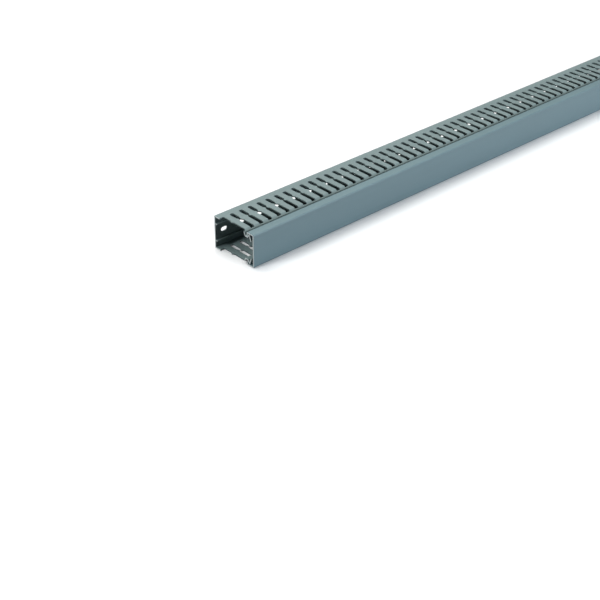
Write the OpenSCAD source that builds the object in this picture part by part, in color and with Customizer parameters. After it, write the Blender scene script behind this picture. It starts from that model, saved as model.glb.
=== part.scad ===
// Slotted wire duct, 40 x 60 mm size, in a one metre length: an extruded PVC
// channel with punched side walls, and the plain cover that clips over its rims.
// It lies on one slotted wall. X runs along the duct, the channel's base plate
// faces +Y, the cover faces -Y. The cover is drawn fully home.

/* [Length] */
// Length of the channel
duct_len = 1000; // [500:12.5:2000]
// How far the cover stops short of the channel at the -X end
cover_short = 2.6; // [0:0.1:4]

/* [Channel section] */
// Width over the two slotted walls
duct_w = 39.5; // [36:0.5:60]
// Depth from the back of the base plate to the face of the cover
duct_d = 61; // [60:0.5:80]
// Wall thickness of the channel
wall_t = 1.4; // [1.2:0.1:1.8]
// Distance from the face of the cover at which a side wall starts to lean in
lean_from = 18.5; // [18:0.1:20]
// Height of the two fins on the inside of the base plate
fin_h = 3; // [1:0.5:5]
// Thickness of the fins
fin_t = 1.2; // [0.8:0.1:2]
// Distance between the two fins, centre to centre
fin_gap = 20.4; // [16:0.2:24]

/* [Wall slots] */
// Pitch of the slots along the duct
slot_pitch = 12.5; // [10:0.5:15]
// Distance of the first slot's centre line from the -X end
slot_first = 3.15; // [3:0.05:4]
// Width of the short part of a slot, next to the base plate
slot_w_low = 5.1; // [4:0.1:6]
// Width of the long part of a slot, next to the rim
slot_w_high = 5.3; // [4:0.1:6]
// Width of the neck between the two parts, where a finger snaps off
neck_w = 2.2; // [1:0.1:3]
// Depth at which the slots start, from the back of the base plate
slot_from = 8.7; // [8:0.1:12]
// Depth of the middle of the neck
neck_d = 23.3; // [20:0.1:26]
// Distance from the face of the cover at which the slots end
slot_end = 16.1; // [15:0.1:18]

/* [Mounting slots] */
// Length of a mounting slot in the base plate
mount_len = 8.5; // [8:0.1:12]
// Width of a mounting slot
mount_w = 5; // [4:0.1:7]
// Pitch of the mounting slots
mount_pitch = 25; // [25:12.5:50]
// Distance of the first mounting slot from the -X end
mount_first = 12; // [10:0.5:15]

/* [Cover] */
// Thickness of the cover
cover_t = 1.4; // [1.2:0.1:1.6]
// How far the cover's lips reach back along the walls
lip_d = 10.7; // [10:0.1:11]
// Radius of the cover's two long outer corners
cover_r = 1.8; // [1.6:0.1:2.4]
// How far the hook along a lip's edge reaches in
hook_h = 3.4; // [3:0.1:3.6]

/* [Hidden] */
$fn = 48;
past = 2;                      // how far a cutter runs past the face that it cuts
flat_turn = 30;                // degrees that one flat of a sharp bend turns
corner_steps = 6;              // flats in each rounded corner of the cover

slot_count = floor((duct_len - slot_first - slot_w_high / 2) / slot_pitch) + 1;
slot_to = duct_d - slot_end;
end_step = 0.3;                // how far past the slots' start the open end begins
neck_len = 1.5;                // straight part of the neck
nose_len = 2.1;                // length of the slopes that lead into the neck
mount_count = floor((duct_len - mount_first - mount_len) / mount_pitch) + 1;

// Middle line of one side of the cover, as [depth, distance in from the outer face]:
// hook, lip, rounded corner.
hook_d = duct_d - lip_d + cover_t / 2;
corner_mid_r = cover_r - cover_t / 2;
lip_line = concat(
    [[hook_d, hook_h - cover_t / 2], [hook_d, cover_t / 2]],
    [for (k = [0 : corner_steps])
        [duct_d - cover_r, cover_r]
            + corner_mid_r * [sin(90 * k / corner_steps), -cos(90 * k / corner_steps)]]
);

// Middle line of one side wall: base corner, lean, step down into the valley that the
// hook lies in, crest that holds the hook, and the edge that leans in behind the cover.
wall_mid = wall_t / 2;
lean_reach = [3.1, 1.95];      // run of the leaning strip
step_run = 1.3;                // distance along the depth that the step takes
valley_room = 1.9;             // free depth of the valley under the hook
crest_run = 2.5;               // distance along the depth from the hook to the crest
crest_room = 0.4;              // gap between the crest and the cover's lip
edge_reach = [2.6, 6.6];       // run of the free edge, from the crest
lean = [duct_d - lean_from, wall_mid];
shoulder = lean + lean_reach;
valley_inset = hook_h + valley_room + wall_mid;
crest = [hook_d + crest_run, cover_t + crest_room + wall_mid];
wall_line = [
    [wall_mid, wall_mid],
    lean,
    shoulder,
    [shoulder[0] + step_run, valley_inset],
    [hook_d, valley_inset],
    crest,
    crest + edge_reach
];

function backwards(list) = [for (i = [len(list) - 1 : -1 : 0]) list[i]];

// The same line on the other side of the duct.
function across(line) = [for (p = line) [p[0], duct_w - p[1]]];

// Direction from one point to the next, and the turn at a point, in degrees.
function heading(line, i) = let (run = line[i + 1] - line[i]) atan2(run[1], run[0]);
function within_half_turn(angle) = angle - 360 * round(angle / 360);

// What a point of a middle line becomes on the skin that lies off it to the right: an
// arc of flats on the outside of a sharp bend, and one point elsewhere.
function skin_at(line, i, off) = let (
        last = len(line) - 2,
        before = heading(line, max(i - 1, 0)),
        turn = within_half_turn(heading(line, min(i, last)) - before),
        flats = floor(max(turn, 0) / flat_turn)
    )
    flats == 0
        ? [line[i] + off / cos(turn / 2) * [sin(before + turn / 2), -cos(before + turn / 2)]]
        : [for (k = [0 : flats])
            let (angle = before + turn * k / flats) line[i] + off * [sin(angle), -cos(angle)]];

function skin(line, off) = [for (i = [0 : len(line) - 1]) each skin_at(line, i, off)];

// Round edge at the end of a line, from its right side to its left.
function end_edge(line, off) = let (ahead = heading(line, len(line) - 2), steps = 180 / flat_turn)
    [for (k = [1 : steps - 1])
        let (angle = ahead + k * flat_turn) line[len(line) - 1] + off * [sin(angle), -cos(angle)]];

// Outline of a sheet of constant thickness that follows a middle line.
function sheet_outline(line, thickness) = let (off = thickness / 2) concat(
    skin(line, off), end_edge(line, off),
    skin(backwards(line), off), end_edge(backwards(line), off)
);

// Extrudes a section, drawn as [depth, width], along X.
module extrude_section(from_x, length) {
    translate([from_x, duct_d / 2, 0])
        rotate([90, 0, 90])
            linear_extrude(length)
                mirror([1, 0]) children();
}

module channel_section() {
    polygon(sheet_outline(concat(backwards(wall_line), across(wall_line)), wall_t));
    for (side = [-1, 1])
        translate([wall_t / 2, duct_w / 2 + side * fin_gap / 2 - fin_t / 2])
            square([wall_t / 2 + fin_h, fin_t]);
}

module cover_section() {
    polygon(sheet_outline(concat(lip_line, across(backwards(lip_line))), cover_t));
}

// Outline of one wall slot as [length, depth]: round at the base plate, pinched to the
// neck, square at the rim.
module slot_outline() {
    low = slot_w_low / 2;
    high = slot_w_high / 2;
    neck = neck_w / 2;
    translate([0, slot_from + low]) circle(r = low);
    neck_from = neck_d - neck_len / 2;
    neck_to = neck_d + neck_len / 2;
    polygon([
        [-low, slot_from + low], [-low, neck_from - nose_len], [-neck, neck_from],
        [-neck, neck_to], [-high, neck_to + nose_len], [-high, slot_to],
        [high, slot_to], [high, neck_to + nose_len], [neck, neck_to],
        [neck, neck_from], [low, neck_from - nose_len], [low, slot_from + low]
    ]);
}

// Places children, drawn as [length, depth], as a cutter through both side walls.
module through_walls(x) {
    translate([x, duct_d / 2, -past])
        linear_extrude(duct_w + 2 * past)
            mirror([0, 1]) children();
}

// One mounting slot, cut through the base plate along Y.
module mounting_slot(x) {
    half_run = (mount_len - mount_w) / 2;
    translate([x, duct_d / 2 + past, duct_w / 2])
        rotate([90, 0, 0])
            linear_extrude(wall_t + 2 * past) {
                translate([-half_run, 0]) circle(d = mount_w);
                translate([half_run, 0]) circle(d = mount_w);
                translate([-half_run, -mount_w / 2]) square([2 * half_run, mount_w]);
            }
}

// Base plate, both slotted walls and both rims: one extrusion, punched. The -X end is
// sawn through the first slot, and what was left of the walls before it is broken off.
module base_channel() {
    color([0.58, 0.64, 0.65]) difference() {
        extrude_section(-duct_len / 2, duct_len) channel_section();
        for (i = [0 : slot_count - 1])
            through_walls(-duct_len / 2 + slot_first + i * slot_pitch) slot_outline();
        for (i = [0 : mount_count - 1])
            mounting_slot(-duct_len / 2 + mount_first + i * mount_pitch);
        through_walls(-duct_len / 2)
            translate([-past, slot_from + end_step]) square([past + slot_first, duct_d]);
    }
}

// Plain cover: face, two lips flush with the walls, and a hook along each lip's edge.
module cover() {
    color([0.45, 0.53, 0.56])
        extrude_section(-duct_len / 2 + cover_short, duct_len - cover_short)
            cover_section();
}

base_channel();
cover();
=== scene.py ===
"""Looks of a slotted wire duct: rigid grey PVC, a punched channel and its plain cover.

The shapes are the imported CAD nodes. This script gives them procedural PVC finishes and adds
the camera, the lights and the floor.
"""

from math import radians

import bpy
from mathutils import Matrix, Vector


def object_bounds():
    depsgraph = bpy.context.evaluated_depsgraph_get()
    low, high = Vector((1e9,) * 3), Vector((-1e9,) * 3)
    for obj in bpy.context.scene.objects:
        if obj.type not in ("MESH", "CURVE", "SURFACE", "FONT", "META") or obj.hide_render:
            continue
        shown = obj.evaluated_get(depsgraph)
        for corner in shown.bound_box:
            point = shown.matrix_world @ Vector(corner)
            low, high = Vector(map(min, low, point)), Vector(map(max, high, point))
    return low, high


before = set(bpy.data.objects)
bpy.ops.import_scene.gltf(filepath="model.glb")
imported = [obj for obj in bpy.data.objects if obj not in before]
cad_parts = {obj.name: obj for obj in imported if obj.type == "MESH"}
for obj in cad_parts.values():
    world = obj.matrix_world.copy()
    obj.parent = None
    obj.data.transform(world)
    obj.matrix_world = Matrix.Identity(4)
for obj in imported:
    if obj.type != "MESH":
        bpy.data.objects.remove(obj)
CAD_BOX = [list(corner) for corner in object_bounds()]
LOW, HIGH = (Vector(corner) for corner in CAD_BOX)
HALF_LENGTH = (HIGH.x - LOW.x) / 2
HALF_WIDTH = (HIGH.z - LOW.z) / 2

# Linear colours of the plastic
CHANNEL_GREY = (0.190, 0.253, 0.252)
COVER_GREY = (0.150, 0.228, 0.246)
SAWN_WHITE = (0.77, 0.83, 0.82)

# Gloss of rigid PVC, the same all over
PVC_GLOSS = {"IOR": 1.53, "Specular IOR Level": 0.45}
PVC_ROUGH = 0.44               # roughness of the skin

# Noise in the skin and the cuts: cells a metre along X, Y and Z, and its detail
NOISES = {
    "clouds": ((9.0, 34.0, 34.0), 4.0),
    "draw_lines": ((1.2, 900.0, 900.0), 2.0),
    "grain": ((2600.0, 2600.0, 2600.0), 2.0),
    "saw_marks": ((400.0, 300.0, 2600.0), 2.0),
    "shear_marks": ((1500.0, 1500.0, 60.0), 2.0),
}
NOISE_SPAN = (0.3, 0.7)        # between these lies nearly all of the noise

# How far each noise moves the tone and the roughness either way
TONE_VARIES = {"clouds": 0.035, "draw_lines": 0.015, "grain": 0.02}
ROUGH_VARIES = {"draw_lines": 0.04, "clouds": 0.03}
SAWN_TONE = (0.975, 0.125)     # tone of a sawn face, and how far its marks move it either way

# Relief: strength, and depth in metres
DRAWN_RELIEF = (0.25, 0.00008)
GRAIN_RELIEF = (0.12, 0.00004)
CUT_RELIEF = (0.5, 0.0002)
SHEAR_HEIGHT = 0.5             # height of the punch's marks, as a share of the saw's
CUT_MATTE = 0.25               # how much rougher a cut face is than the skin

# Cut faces, with lengths in metres
SAWN_REACH = 0.0036            # how far from the duct's ends a sawn face may lie
SAWN_FACING = (0.6, 0.9)       # how squarely it faces along the duct, from none to all
WALL = 0.0014                  # thickness of the channel's walls
SLOT_CLEARANCE = 0.006         # the wall slots keep this far off the base plate's back
MOUNT_ROW = 0.005              # half the width of the row of mounting slots
PUNCH_FACING = 0.3             # how far a punched face may lean out of square
PUNCHED_PAINTED_SHADE = 0.45            # painted shade on a punched face: its tone where the shade is fullest
PAINTED_SHADE_FROM = 1.2               # how full the painted shade is: this, less the noise of the punch's marks

# Sharp edges, with a painted highlight on them that partly stands for whitening at the cuts
EDGE_RADIUS = 0.00045          # how round they look, in metres
EDGE_HIGHLIGHT_AND_WHITENING = 1.35               # how much lighter they are than the skin
EDGE_TURN = (0.995, 0.85)      # how well the rounded normal agrees with the true one, from
                               # flat skin to a full edge
EDGE_SAMPLES = 6               # rays that look for an edge, at each point

# White floor, with a faint light of its own that softens the shadow on it, and what is seen
# behind it
FLOOR_WHITE = (0.92, 0.92, 0.92, 1.0)
FLOOR_FINISH = {"Roughness": 0.9, "Specular IOR Level": 0.1, "Emission Strength": 0.08}
FLOOR_REACH = 30.0
FLOOR_DROP = 0.0002            # gap under the duct, so that the two faces don't fight
BACKDROP = (0.90, 0.90, 0.90, 1.0)

# Weak light from all round: from below the horizon, from above it, and the rise over which
# the one turns into the other
GROUND = (0.02, 0.02, 0.02, 1.0)
SKY = (0.088, 0.092, 0.096, 1.0)
HORIZON = (-0.05, 0.25)

# The key is a broad light from far off: the way it shines, its strength, spread and tint
KEY_WAY = (-0.3, -0.8, -2.2)
KEY_STRENGTH = 3.05
KEY_SPREAD = 55.0              # degrees that it fills, seen from the duct
KEY_TINT = (1.0, 1.0, 0.985)

# Area lights: place, the point it shines at, size, watts and tint
AREA_LIGHTS = {
    "front": ((0.7, -2.4, 0.45), (-0.3, 0.0, 0.0), (2.2, 0.7), 57.0, (0.90, 0.99, 1.10)),
    "end": ((-2.1, 0.35, 1.0), (-0.5, 0.0, 0.02), (0.4, 0.4), 17.0, (0.95, 1.0, 1.03)),
}

# Camera, measured from the near end's lower corner at the back of the base plate
CAMERA_FROM_END = Vector((-0.7115, -0.9079, 0.6716))
CAMERA_FORWARD = Vector((0.57012, 0.61901, -0.54018))
CAMERA_DOWN = Vector((-0.36139, -0.40152, -0.84154))
CAMERA_CLIP = (0.01, 100.0)
LENS_MM = 74.05
SENSOR_MM = 36.0


# ---------------------------------------------------------------- node helpers

def set_inputs(node, values):
    """Sets a node's sockets to plain values, by name."""
    for socket, value in values.items():
        node.inputs[socket].default_value = value


class Nodes:
    """A node tree, built a node at a time."""

    def __init__(self, tree):
        self.tree = tree

    def node(self, kind, **settings):
        new = self.tree.nodes.new(kind)
        for key, value in settings.items():
            setattr(new, key, value)
        return new

    def feed(self, socket, value):
        """Links value to the socket if it is another node's output, and sets it if not."""
        if isinstance(value, bpy.types.NodeSocket):
            self.tree.links.new(value, socket)
        else:
            socket.default_value = value

    def math(self, operation, first, second=0.0):
        new = self.node("ShaderNodeMath", operation=operation)
        self.feed(new.inputs[0], first)
        self.feed(new.inputs[1], second)
        return new.outputs[0]

    def product(self, first, *others):
        for other in others:
            first = self.math("MULTIPLY", first, other)
        return first

    def distance(self, value, middle):
        return self.math("ABSOLUTE", self.math("SUBTRACT", value, middle))

    def axes(self, vector):
        split = self.node("ShaderNodeSeparateXYZ")
        self.feed(split.inputs["Vector"], vector)
        return [split.outputs[axis] for axis in "XYZ"]

    def remap(self, value, span, low, high):
        """Value's span, turned into low to high and held there past its ends."""
        new = self.node("ShaderNodeMapRange")
        self.feed(new.inputs["Value"], value)
        set_inputs(new, {"From Min": span[0], "From Max": span[1], "To Min": low, "To Max": high})
        return new.outputs["Result"]

    def mix(self, factor, first, second):
        new = self.node("ShaderNodeMix", data_type="RGBA")
        self.feed(new.inputs["Factor"], factor)
        self.feed(new.inputs["A"], first)
        self.feed(new.inputs["B"], second)
        return new.outputs["Result"]


class Shader(Nodes):
    """A material, with one Principled BSDF as its surface."""

    def __init__(self, name):
        self.material = bpy.data.materials.new(name)
        self.material.use_nodes = True
        super().__init__(self.material.node_tree)
        self.tree.nodes.clear()
        self.surface = self.node("ShaderNodeBsdfPrincipled")
        output = self.node("ShaderNodeOutputMaterial")
        self.tree.links.new(self.surface.outputs["BSDF"], output.inputs["Surface"])
        self.place = self.node("ShaderNodeTexCoord").outputs["Object"]
        self.true_normal = self.node("ShaderNodeNewGeometry").outputs["True Normal"]

    def noise(self, name):
        """One of NOISES, in the object's own coordinates."""
        cells, detail = NOISES[name]
        stretched = self.node("ShaderNodeMapping")
        self.feed(stretched.inputs["Vector"], self.place)
        set_inputs(stretched, {"Scale": cells})
        new = self.node("ShaderNodeTexNoise")
        self.feed(new.inputs["Vector"], stretched.outputs["Vector"])
        set_inputs(new, {"Scale": 1.0, "Detail": detail})
        return new.outputs["Fac"]

    def varied(self, noise, middle, spread):
        """A number that the noise moves either way from the middle."""
        return self.remap(noise, NOISE_SPAN, middle - spread, middle + spread)

    def scaled_colour(self, colour, factor):
        """A colour multiplied by a number that varies over the surface."""
        new = self.node("ShaderNodeVectorMath", operation="SCALE")
        self.feed(new.inputs[0], colour)
        self.feed(new.inputs["Scale"], factor)
        return new.outputs["Vector"]

    def bump(self, height, relief, normal):
        """Relief of the given strength and depth, laid over a normal."""
        new = self.node("ShaderNodeBump")
        self.feed(new.inputs["Height"], height)
        self.feed(new.inputs["Normal"], normal)
        set_inputs(new, {"Strength": relief[0], "Distance": relief[1]})
        return new.outputs["Normal"]


# ---------------------------------------------------------------- plastic

def sawn_end_mask(s):
    """1 on the faces at the duct's two ends, where it was sawn off, and 0 elsewhere."""
    facing = s.math("ABSOLUTE", s.axes(s.true_normal)[0])
    from_middle = s.math("ABSOLUTE", s.axes(s.place)[0])
    at_end = s.math("GREATER_THAN", from_middle, HALF_LENGTH - SAWN_REACH)
    return s.product(s.remap(facing, SAWN_FACING, 0.0, 1.0), at_end)


def punched_mask(s):
    """1 on the cut faces of the wall slots and the mounting slots, and 0 elsewhere."""
    _, y, z = s.axes(s.place)
    _, across, up = (s.math("ABSOLUTE", part) for part in s.axes(s.true_normal))
    from_middle = s.distance(z, HALF_WIDTH)
    wall_slots = s.product(s.math("GREATER_THAN", from_middle, HALF_WIDTH - WALL),
                           s.math("LESS_THAN", y, HIGH.y - SLOT_CLEARANCE),
                           s.math("LESS_THAN", up, PUNCH_FACING))
    mounting_slots = s.product(s.math("LESS_THAN", from_middle, MOUNT_ROW),
                               s.math("GREATER_THAN", y, HIGH.y - WALL),
                               s.math("LESS_THAN", across, PUNCH_FACING))
    return s.math("MAXIMUM", wall_slots, mounting_slots)


def rounded_edges(s):
    """1 at sharp corners and 0 on flat skin, and the normal that rounds those corners off."""
    rounded = s.node("ShaderNodeBevel", samples=EDGE_SAMPLES)
    set_inputs(rounded, {"Radius": EDGE_RADIUS})
    agree = s.node("ShaderNodeVectorMath", operation="DOT_PRODUCT")
    s.feed(agree.inputs[0], rounded.outputs["Normal"])
    s.feed(agree.inputs[1], s.true_normal)
    return s.remap(agree.outputs["Value"], EDGE_TURN, 0.0, 1.0), rounded.outputs["Normal"]


def rigid_pvc(name, colour, punched):
    """Extruded grey PVC with a satin skin.

    Faint draw lines run along X over soft clouds of tone. Sawn ends are whitened and rough,
    punched faces carry painted shade, varied by the punch's marks that also show in relief,
    and sharp edges carry a painted highlight that partly stands for whitening at the cuts.
    """
    s = Shader(name)
    noises = {kind: s.noise(kind) for kind in ("clouds", "draw_lines", "grain", "saw_marks")}
    edge, rounded_normal = rounded_edges(s)
    cut = sawn = sawn_end_mask(s)
    height = s.product(noises["saw_marks"], sawn)

    tone = s.product(*(s.varied(noises[kind], 1.0, spread) for kind, spread in TONE_VARIES.items()))
    # Painted highlight on sharp edges, partly standing for whitening at the cuts
    tone = s.product(tone, s.remap(edge, (0.0, 1.0), 1.0, EDGE_HIGHLIGHT_AND_WHITENING))
    if punched:
        punch = punched_mask(s)
        shear_marks = s.noise("shear_marks")
        # Painted shade on the punched slot faces, varied by the punch's marks, which also show in
        # relief
        painted_shade = s.product(punch, s.math("SUBTRACT", PAINTED_SHADE_FROM, shear_marks))
        tone = s.product(tone, s.remap(painted_shade, (0.0, 1.0), 1.0, PUNCHED_PAINTED_SHADE))
        height = s.math("ADD", height, s.product(shear_marks, punch, SHEAR_HEIGHT))
        cut = s.math("MAXIMUM", sawn, punch)

    whitened = s.scaled_colour(SAWN_WHITE, s.varied(noises["saw_marks"], *SAWN_TONE))
    s.feed(s.surface.inputs["Base Color"], s.mix(sawn, s.scaled_colour(colour, tone), whitened))

    rough = s.varied(noises["draw_lines"], PVC_ROUGH, ROUGH_VARIES["draw_lines"])
    rough = s.math("ADD", rough, s.varied(noises["clouds"], 0.0, ROUGH_VARIES["clouds"]))
    s.feed(s.surface.inputs["Roughness"], s.math("ADD", rough, s.product(cut, CUT_MATTE)))
    set_inputs(s.surface, PVC_GLOSS)

    drawn = s.bump(noises["draw_lines"], DRAWN_RELIEF, rounded_normal)
    grained = s.bump(noises["grain"], GRAIN_RELIEF, drawn)
    s.feed(s.surface.inputs["Normal"], s.bump(height, CUT_RELIEF, grained))
    return s.material


def dress(node, material):
    """Puts one material on every slot of a CAD node."""
    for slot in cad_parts[node].material_slots:
        slot.material = material


# ---------------------------------------------------------------- camera, lights, floor

def add_object(name, data):
    added = bpy.data.objects.new(name, data)
    bpy.context.scene.collection.objects.link(added)
    return added


def turned(way):
    """The turn that makes a lamp shine along way."""
    return Vector(way).to_track_quat("-Z", "Y").to_euler()


def add_camera():
    camera = add_object("camera", bpy.data.cameras.new("camera"))
    near_corner = Vector((LOW.x, HIGH.y, LOW.z))
    forward = CAMERA_FORWARD.normalized()
    right = CAMERA_DOWN.cross(forward).normalized()
    axes = Matrix((right, right.cross(forward), -forward)).transposed().to_4x4()
    camera.matrix_world = Matrix.Translation(near_corner + CAMERA_FROM_END) @ axes
    camera.data.lens = LENS_MM
    camera.data.sensor_width = SENSOR_MM
    camera.data.clip_start, camera.data.clip_end = CAMERA_CLIP
    bpy.context.scene.camera = camera


def add_key():
    light = bpy.data.lights.new("key", "SUN")
    light.energy = KEY_STRENGTH
    light.angle = radians(KEY_SPREAD)
    light.color = KEY_TINT
    add_object("key", light).rotation_euler = turned(KEY_WAY)


def add_area_light(name, place, target, size, watts, tint):
    light = bpy.data.lights.new(name, "AREA")
    light.shape = "RECTANGLE"
    light.size, light.size_y = size
    light.energy = watts
    light.color = tint
    lamp = add_object(name, light)
    lamp.location = place
    lamp.rotation_euler = turned(Vector(target) - Vector(place))


def add_world():
    """Even light from above the horizon, little from below it, and a pale backdrop."""
    world = bpy.data.worlds.new("studio")
    world.use_nodes = True
    w = Nodes(world.node_tree)
    way = w.node("ShaderNodeTexCoord").outputs["Generated"]
    light = w.mix(w.remap(w.axes(way)[2], HORIZON, 0.0, 1.0), GROUND, SKY)
    seen = w.node("ShaderNodeLightPath").outputs["Is Camera Ray"]
    w.feed(w.tree.nodes["Background"].inputs["Color"], w.mix(seen, light, BACKDROP))
    bpy.context.scene.world = world


def add_floor():
    mesh = bpy.data.meshes.new("floor")
    corners = ((-1, -1), (1, -1), (1, 1), (-1, 1))
    mesh.from_pydata([(x * FLOOR_REACH, y * FLOOR_REACH, LOW.z - FLOOR_DROP) for x, y in corners],
                     [], [(0, 1, 2, 3)])
    floor = add_object("floor", mesh)
    s = Shader("floor_white")
    set_inputs(s.surface, {"Base Color": FLOOR_WHITE, "Emission Color": FLOOR_WHITE})
    set_inputs(s.surface, FLOOR_FINISH)
    mesh.materials.append(s.material)
    floor.visible_diffuse = False


dress("base_channel", rigid_pvc("channel_pvc", CHANNEL_GREY, punched=True))
dress("cover", rigid_pvc("cover_pvc", COVER_GREY, punched=False))

bpy.context.scene.view_settings.view_transform = "Standard"
add_camera()
add_floor()
add_world()
add_key()
for name, settings in AREA_LIGHTS.items():
    add_area_light(name, *settings)
